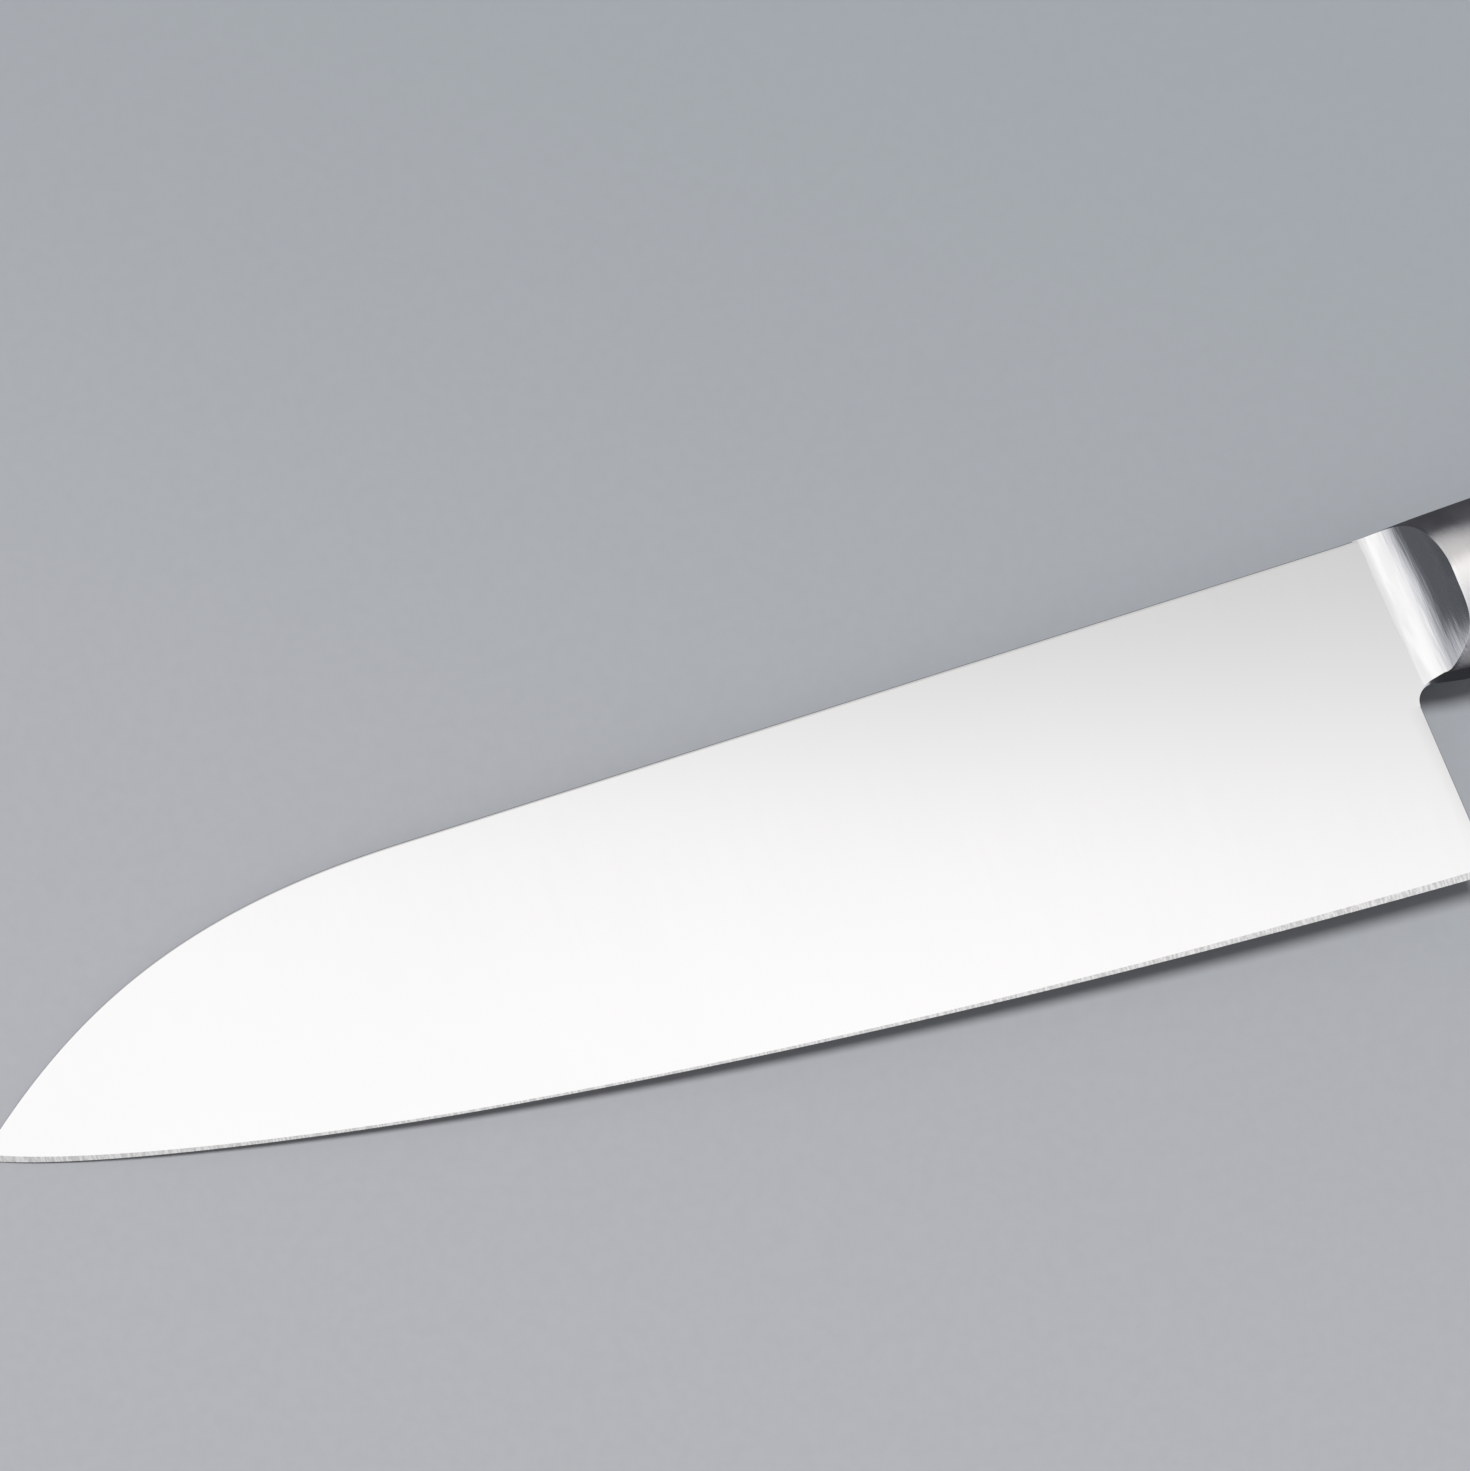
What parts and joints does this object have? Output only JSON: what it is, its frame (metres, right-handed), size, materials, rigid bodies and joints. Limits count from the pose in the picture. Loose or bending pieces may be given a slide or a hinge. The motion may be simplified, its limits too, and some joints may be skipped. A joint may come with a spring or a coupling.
{
  "type": "santoku knife",
  "caption": "Santoku kitchen knife with a broad flat-ground steel blade and full tang, hollow-swept steel bolsters and riveted wooden scales.",
  "frame": {"origin": "centre of the knife's outline, on the surface that the right side of its handle lies on", "axes": "+X from the tip to the butt along the spine, +Y from the edge towards the spine, +Z out of the blade's left face"},
  "size_m": [0.3054, 0.0424, 0.0184],
  "materials": {
    "blade_steel": "fine satin polish",
    "bolster_steel": "ground and satin polished",
    "scale_wood": "polished resin-stabilised laminate",
    "rivet_steel": "ground flush and polished"
  },
  "bodies": {
    "root": {"blade": "blade_steel", "bolster_left": "bolster_steel", "bolster_right": "bolster_steel", "scale_left": "scale_wood", "scale_right": "scale_wood", "rivet_front_pin": "rivet_steel", "rivet_front_sleeve": "rivet_steel", "rivet_middle_pin": "rivet_steel", "rivet_middle_sleeve": "rivet_steel", "rivet_rear_pin": "rivet_steel", "rivet_rear_sleeve": "rivet_steel"}
  },
  "joints": []
}
